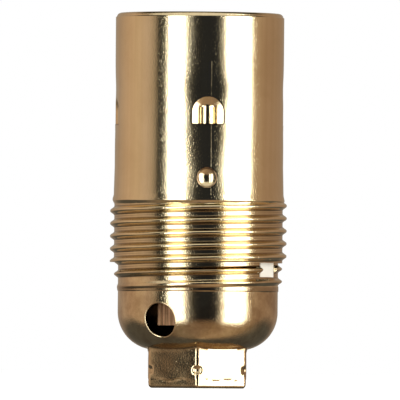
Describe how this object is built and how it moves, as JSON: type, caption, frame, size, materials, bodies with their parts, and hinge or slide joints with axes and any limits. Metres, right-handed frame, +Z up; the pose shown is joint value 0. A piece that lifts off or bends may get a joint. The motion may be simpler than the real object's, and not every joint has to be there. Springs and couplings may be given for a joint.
{
  "type": "lamp holder",
  "caption": "Two-part brass lamp holder: threaded sleeve with a porcelain screw socket for a small screw-cap lamp, screwed onto a domed cap with a hexagonal threaded neck.",
  "frame": {"origin": "centre of the hexagonal neck's lower face", "axes": "+Z up along the holder from the neck to the lamp's mouth, -Y towards the neck corner at the front, +X to the right"},
  "size_m": [0.028, 0.028, 0.0594],
  "materials": {
    "polished_brass": "polished and lacquered",
    "nut_brass": "machined",
    "terminal_brass": "drawn strip",
    "bronze": "rolled strip",
    "spring_steel": "rolled",
    "plated_steel": "zinc plated",
    "porcelain": "glazed"
  },
  "bodies": {
    "base": {"cap": "polished_brass", "neck_nut": "nut_brass", "contact_base": "porcelain", "centre_contact": "bronze", "backing_spring": "spring_steel", "side_contact": "bronze", "line_rivet": "terminal_brass", "neutral_rivet": "terminal_brass", "line_terminal": "terminal_brass", "neutral_terminal": "terminal_brass", "earth_bracket": "terminal_brass"},
    "liner": {"lamp_liner": "porcelain"},
    "mantle": {"mantle": "polished_brass"},
    "line_clamp": {"line_saddle": "plated_steel"},
    "line_screw": {"line_screw": "plated_steel"},
    "neutral_clamp": {"neutral_saddle": "plated_steel"},
    "neutral_screw": {"neutral_screw": "plated_steel"},
    "earth_clamp": {"earth_saddle": "plated_steel"},
    "earth_screw": {"earth_screw": "plated_steel"}
  },
  "joints": [
    {"name": "liner_lift", "type": "slide", "parent": "base", "child": "liner", "axis": [0, 0, 1], "range_m": [0, 0.005]},
    {"name": "mantle_turn", "type": "hinge", "parent": "liner", "child": "mantle", "pos_m": [0, 0, 0.04], "axis": [0, 0, 1], "range_deg": [0, 900]},
    {"name": "line_clamp_lift", "type": "slide", "parent": "base", "child": "line_clamp", "axis": [0, -1, 0], "range_m": [0, 0.0015]},
    {"name": "line_screw_turn", "type": "hinge", "parent": "line_clamp", "child": "line_screw", "pos_m": [-0.0016, -0.008, 0.0139], "axis": [0, -1, 0], "range_deg": [0, 1080]},
    {"name": "neutral_clamp_lift", "type": "slide", "parent": "base", "child": "neutral_clamp", "axis": [0, 1, 0], "range_m": [0, 0.0015]},
    {"name": "neutral_screw_turn", "type": "hinge", "parent": "neutral_clamp", "child": "neutral_screw", "pos_m": [0.0016, 0.008, 0.0139], "axis": [0, 1, 0], "range_deg": [0, 1080]},
    {"name": "earth_clamp_lift", "type": "slide", "parent": "base", "child": "earth_clamp", "axis": [0, 0, 1], "range_m": [0, 0.0015]},
    {"name": "earth_screw_turn", "type": "hinge", "parent": "earth_clamp", "child": "earth_screw", "pos_m": [0.0086, 0, 0.0145], "axis": [0, 0, 1], "range_deg": [0, 1080]}
  ],
  "couplings": [
    {"joint": "liner_lift", "follows": "mantle_turn", "m_per_rad": 0.00031831},
    {"joint": "line_screw_turn", "follows": "line_clamp_lift", "rad_per_m": 12566},
    {"joint": "neutral_screw_turn", "follows": "neutral_clamp_lift", "rad_per_m": 12566},
    {"joint": "earth_screw_turn", "follows": "earth_clamp_lift", "rad_per_m": 12566}
  ]
}
